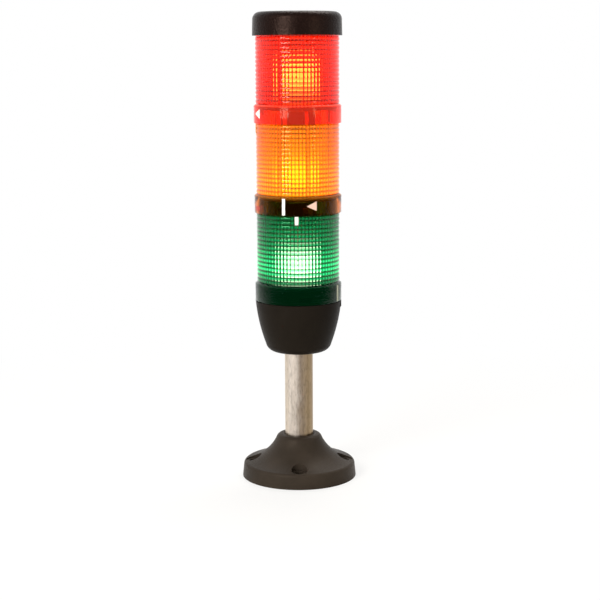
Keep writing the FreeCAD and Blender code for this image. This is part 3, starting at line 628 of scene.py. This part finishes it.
def curved_plate(columns, radius, centre_bearing, base_height):
    """Closed thin plate on a cylinder, from columns of (along, low, high) in millimetres."""
    vertices = []
    for depth in (0.0, MARK_PROUD):
        for along, low, high in columns:
            bearing = centre_bearing + math.degrees(along / radius)
            for height in (low, high):
                x, y = on_circle(radius + depth, bearing)
                vertices.append((float(x), float(y), base_height + height))
    back = len(columns) * 2
    last = back - 2
    faces = []
    for a in range(0, last, 2):
        b = a + 2
        faces.append((back + a, back + b, back + b + 1, back + a + 1))
        faces.append((a, a + 1, b + 1, b))
        faces.append((a, b, back + b, back + a))
        faces.append((a + 1, back + a + 1, back + b + 1, b + 1))
    faces.append((0, back, back + 1, 1))
    faces.append((last, last + 1, back + last + 1, back + last))
    return vertices, faces


def strip_columns(width, low, high):
    """Upright strip."""
    return [(along, low, high) for along in np.linspace(-width / 2, width / 2, STRIP_COLUMNS)]


def triangle_columns(width, height, middle):
    """Triangle with its point towards smaller bearings."""
    columns = []
    for share in np.linspace(0.0, 1.0, TRIANGLE_COLUMNS):
        half = max(height / 2 * share, TRIANGLE_POINT)
        columns.append((-width / 2 + width * share, middle - half, middle + half))
    return columns


def build_marks(tier, paints):
    """Tick and triangle on the collar of a tier, and the index mark on its pad."""
    tick = TICKS[tier]
    skin = BODY_RADIUS - MARK_SUNK
    shapes = {
        "tick": (strip_columns(TICK_WIDTH, TICK_LOW, TICK_HIGH), skin, tick),
        "triangle": (triangle_columns(TRIANGLE_WIDTH, TRIANGLE_HEIGHT, TRIANGLE_MIDDLE), skin,
                     tick + TRIANGLE_FROM_TICK),
        "index": (strip_columns(INDEX_WIDTH, INDEX_LOW, INDEX_HIGH), PAD_RADIUS - MARK_SUNK,
                  tick + PAD_FROM_TICK),
    }
    for kind, shape in shapes.items():
        vertices, faces = curved_plate(*shape, SEATS[tier + "_tier"])
        make_piece(tier + "_" + kind + "_mark", vertices, faces, paints[kind], tier + "_tier",
                   MARK_SMOOTH_ANGLE)


# ---- Looks -------------------------------------------------------------------------

CAD_SMOOTH_ANGLE = 35.0

# CAD node: grained plastic
GRAINED = {
    "top_cap": {"name": "grained_cap", "dark": (0.0045, 0.0016, 0.0012),
                "light": (0.0080, 0.0036, 0.0028), "roughness": 0.27, "gloss": 0.11,
                "grain": 0.00032, "grain_scale": 1000.0, "tint": (1.0, 0.66, 0.55)},
    "base_housing": {"name": "grained_base", "dark": (0.0080, 0.0062, 0.0046),
                     "light": (0.0120, 0.0095, 0.0070), "roughness": 0.42, "gloss": 0.05,
                     "grain": 0.000008},
    "foot": {"name": "grained_foot", "dark": (0.026, 0.020, 0.015),
             "light": (0.044, 0.034, 0.026), "roughness": 0.45, "gloss": 0.09},
}
# Name: colour and roughness
METALS = {
    "zinc_steel": ((0.55, 0.55, 0.56), 0.35),
    "brass": ((0.80, 0.58, 0.26), 0.30),
    "spring_bronze": ((0.74, 0.50, 0.32), 0.30),
    "nickel_plate": ((0.72, 0.70, 0.66), 0.25),
}
# Name: colour, roughness and variation
PLAINS = {
    "pale_plastic": ((0.78, 0.77, 0.72), 0.5, 0.15),
    "deck_plastic": ((0.004, 0.0035, 0.003), 0.6, 0.3),
    "seal_rubber": ((0.025, 0.025, 0.025), 0.75, 0.3),
    "white_paint": ((0.80, 0.78, 0.74), 0.45, 0.06),
    "peach_paint": ((0.82, 0.56, 0.46), 0.45, 0.06),
    "cream_paint": ((0.50, 0.52, 0.38), 0.45, 0.06),
}
SINGLE_FINISHES = {
    "foot_set_screw": "zinc_steel", "base_set_screw": "zinc_steel", "terminal_screws": "zinc_steel",
    "terminal_clamps": "brass", "base_contact_springs": "spring_bronze",
    "terminal_carrier": "pale_plastic", "cap_seal": "seal_rubber",
}
TIER_FINISHES = {
    "lamp_deck": "deck_plastic", "lamp_socket": "nickel_plate", "lamp_cap": "nickel_plate",
    "socket_pins": "brass", "lamp_straps": "spring_bronze", "contact_strips": "spring_bronze",
    "seal": "seal_rubber",
}
# Marks that aren't white
TINTED_MARKS = {("green", "tick"): "cream_paint", ("amber", "triangle"): "peach_paint"}

# The last three entries of each lens give painted glow, light that no lamp casts: its colour, what
# a metre of the plastic gives off, and what its surface gives off by height in the tier
LENS_LOOKS = {
    "green": {"dye": (1600.0, 1000.0, 1400.0), "body": (0.02, 0.42, 0.16),
              "haze": (0.0, 0.04, 0.025), "sheen": ((0.0, 0.0, 0.0), (0.12, 0.45, 0.20)),
              "glow": (0.03, 1.0, 0.30), "painted_inner_glow": 0.0,
              "painted_glow_by_height": [(0.0000, 0.11), (0.0090, 0.11), (0.0105, 0.0), (0.0115, 0.04),
                            (0.0200, 0.55), (0.0330, 0.18), (0.0500, 0.06), (0.0510, 0.0)]},
    "amber": {"dye": (50.0, 380.0, 2200.0), "body": (0.86, 0.36, 0.02),
              "haze": (0.0, 0.30, 0.10), "sheen": ((0.0, 0.0, 0.0), (0.90, 0.60, 0.30)),
              "glow": (0.93, 0.32, 0.012), "painted_inner_glow": 5.5,
              "painted_glow_by_height": [(0.0090, 0.0), (0.0115, 0.40), (0.0200, 0.42), (0.0350, 0.20),
                            (0.0500, 0.14), (0.0510, 0.0)]},
    "red": {"dye": (50.0, 900.0, 1500.0), "body": (0.78, 0.05, 0.025),
            "haze": (0.05, 0.30, 0.10), "sheen": ((0.40, 0.25, 0.20), (0.80, 0.45, 0.40)),
            "glow": (0.88, 0.046, 0.016), "painted_inner_glow": 21.0,
            "painted_glow_by_height": [(0.0000, 2.60), (0.0095, 2.60), (0.0115, 0.14), (0.0500, 0.18),
                          (0.0510, 0.0)]},
}
# The middle of the lit zone counts from the seat of the tier.
LAMP_LOOKS = {
    "green": {"colour": (1.0, 0.45, 0.60), "core": 48.0, "rim": 1.0, "middle": 21.0,
              "half_height": 6.2},
    "amber": {"colour": (1.0, 0.75, 0.06), "core": 2.4, "rim": 0.4, "middle": 21.7,
              "half_height": 8.0},
    "red": {"colour": (1.0, 0.80, 0.30), "core": 10.0, "rim": 0.4, "middle": 27.5,
            "half_height": 7.5},
}


def finish_node(node, material):
    """Gives a CAD piece its material and smooth shading, and leaves its mesh as it is."""
    piece = frame["nodes"][node]
    piece.data.materials.clear()
    piece.data.materials.append(material)
    piece.data.shade_smooth()
    piece.data.set_sharp_from_angle(angle=math.radians(CAD_SMOOTH_ANGLE))


def build_looks():
    """Materials of all the pieces, and the mouldings and marks of the tiers."""
    for node, look in GRAINED.items():
        finish_node(node, grained_plastic(**look))
    finish_node("pole_tube", drawn_aluminium())
    stock = {name: plain_metal(name, *look) for name, look in METALS.items()}
    stock |= {name: soft_plain(name, *look) for name, look in PLAINS.items()}
    for node, name in SINGLE_FINISHES.items():
        finish_node(node, stock[name])
    for tier in TIERS:
        for part, name in TIER_FINISHES.items():
            finish_node(tier + "_" + part, stock[name])
        seat = SEATS[tier + "_tier"]
        build_lens(tier, lens_plastic(tier + "_clear", seat, TICKS[tier], **LENS_LOOKS[tier]))
        build_marks(tier, {kind: stock[TINTED_MARKS.get((tier, kind), "white_paint")]
                           for kind in ("tick", "triangle", "index")})
        look = dict(LAMP_LOOKS[tier])
        look["middle"] += seat
        finish_node(tier + "_lamp_globe", lamp_glow(tier + "_lamp", **look))


# ---- Stage, light and camera -------------------------------------------------------

# Floor: half its width, its colour, and the share of plain white that it shows, which grows
# from the near to the far distance from the middle
FLOOR_HALF = 3.0
FLOOR_COLOUR = (0.92, 0.92, 0.91, 1.0)
WHITE_REACH = (0.08, 0.40)
WHITE_SHARE = (0.70, 1.0)

# The room that lights the object softly, by how far a direction faces its bright end
STUDIO_TOWARDS = (-0.5, 0.85, 0.15)
STUDIO_TONES = [(0.0, (0.06, 0.05, 0.035)), (0.45, (0.19, 0.17, 0.14)),
                (0.7, (0.66, 0.63, 0.59)), (0.9, (0.95, 0.95, 0.95))]

# Soft boxes, in metres and watts, aimed at a height on the axis
AIM_HEIGHT = 0.16
LIGHTS = {
    "key_box": {"bearing": -34.0, "distance": 0.9, "height": 0.42, "size": (0.40, 0.7),
                "power": 9.5, "colour": (1.0, 0.97, 0.93)},
    "fill_box": {"bearing": 45.0, "distance": 1.1, "height": 0.40, "size": (0.16, 0.6),
                 "power": 1.6, "colour": (1.0, 0.90, 0.70)},
    "top_box": {"bearing": 160.0, "distance": 0.5, "height": 1.1, "size": (0.8, 0.6),
                "power": 7.5, "colour": (1.0, 0.98, 0.95)},
}

# Camera: place in metres, pitch and roll in degrees, lens and sensor in millimetres
CAMERA_PLACE = (0.0, -0.8210, 0.2458)
CAMERA_PITCH = 9.75
CAMERA_ROLL = -0.30
CAMERA_LENS = 85.69
CAMERA_SENSOR = 36.0
CAMERA_SHIFT = 0.0025


def seen_directly(nodes, links):
    """1 for rays that show the background: from the camera, a gloss or a clear piece."""
    path = add(nodes, "LightPath").outputs
    shown = calculate(nodes, links, "ADD", path["Is Camera Ray"], path["Is Transmission Ray"],
                      clamp=True)
    return calculate(nodes, links, "ADD", shown, path["Is Glossy Ray"], clamp=True)


def pale_floor():
    """White paint that shows white from afar and keeps the object's shadow close to it."""
    material, nodes, links, output = new_material("pale_floor")
    paint = add(nodes, "BsdfDiffuse", {"Color": FLOOR_COLOUR})
    reach = add(nodes, "VectorMath", operation="LENGTH")
    links.new(add(nodes, "TexCoord").outputs["Object"], reach.inputs[0])
    share = spread(nodes, links, reach.outputs["Value"], WHITE_REACH, WHITE_SHARE)
    shown = calculate(nodes, links, "MULTIPLY", seen_directly(nodes, links), share)
    light = emission(nodes, links, (1.0, 1.0, 1.0), 1.0)
    links.new(mix_shaders(nodes, links, shown, paint.outputs["BSDF"], light),
              output.inputs["Surface"])
    return material


def build_stage():
    """Floor under the object."""
    corners = [(x * FLOOR_HALF, y * FLOOR_HALF, 0) for x, y in ((-1, -1), (1, -1), (1, 1), (-1, 1))]
    mesh = bpy.data.meshes.new("floor")
    mesh.from_pydata(corners, [], [(0, 1, 2, 3)])
    mesh.materials.append(pale_floor())
    floor = bpy.data.objects.new("floor", mesh)
    bpy.context.scene.collection.objects.link(floor)


def build_world():
    """White background, and to light the object a room that is bright behind it and to its left
    and dim in front and to the right."""
    world = bpy.data.worlds.new("studio")
    bpy.context.scene.world = world
    world.use_nodes = True
    nodes = world.node_tree.nodes
    links = world.node_tree.links
    nodes.clear()
    output = nodes.new("ShaderNodeOutputWorld")
    facing = add(nodes, "VectorMath", {1: STUDIO_TOWARDS}, operation="DOT_PRODUCT")
    links.new(add(nodes, "TexCoord").outputs["Generated"], facing.inputs[0])
    share = spread(nodes, links, facing.outputs["Value"], (-1.0, 1.0), (0.0, 1.0))
    ambient = add(nodes, "Background", {"Strength": 1.0})
    links.new(ramp(nodes, links, share, STUDIO_TONES), ambient.inputs["Color"])
    shown = add(nodes, "Background", {"Color": (1.0, 1.0, 1.0, 1.0), "Strength": 1.0})
    links.new(mix_shaders(nodes, links, seen_directly(nodes, links),
                          ambient.outputs["Background"], shown.outputs["Background"]),
              output.inputs["Surface"])


def area_light(name, bearing, distance, height, size, power, colour):
    """Soft box at a bearing, a distance and a height in metres, aimed at the object."""
    data = bpy.data.lights.new(name, "AREA")
    data.shape = "RECTANGLE"
    data.size, data.size_y = size
    data.energy = power
    data.color = colour
    light = bpy.data.objects.new(name, data)
    bpy.context.scene.collection.objects.link(light)
    x, y = on_circle(distance, bearing)
    place = Vector((float(x), float(y), height))
    light.location = place
    light.visible_transmission = False
    light.rotation_euler = (Vector((0, 0, AIM_HEIGHT)) - place).to_track_quat("-Z", "Y").to_euler()


def build_camera():
    """Camera of the photo."""
    data = bpy.data.cameras.new("camera")
    data.lens = CAMERA_LENS
    data.sensor_width = CAMERA_SENSOR
    data.shift_x = CAMERA_SHIFT
    camera = bpy.data.objects.new("camera", data)
    tilt = Matrix.Rotation(math.radians(90.0 - CAMERA_PITCH), 4, "X")
    roll = Matrix.Rotation(math.radians(CAMERA_ROLL), 4, "Z")
    camera.matrix_world = Matrix.Translation(CAMERA_PLACE) @ tilt @ roll
    bpy.context.scene.collection.objects.link(camera)
    bpy.context.scene.camera = camera


build_looks()
build_stage()
build_world()
for light_name, light_look in LIGHTS.items():
    area_light(light_name, **light_look)
build_camera()
bpy.context.scene.view_settings.view_transform = "Standard"
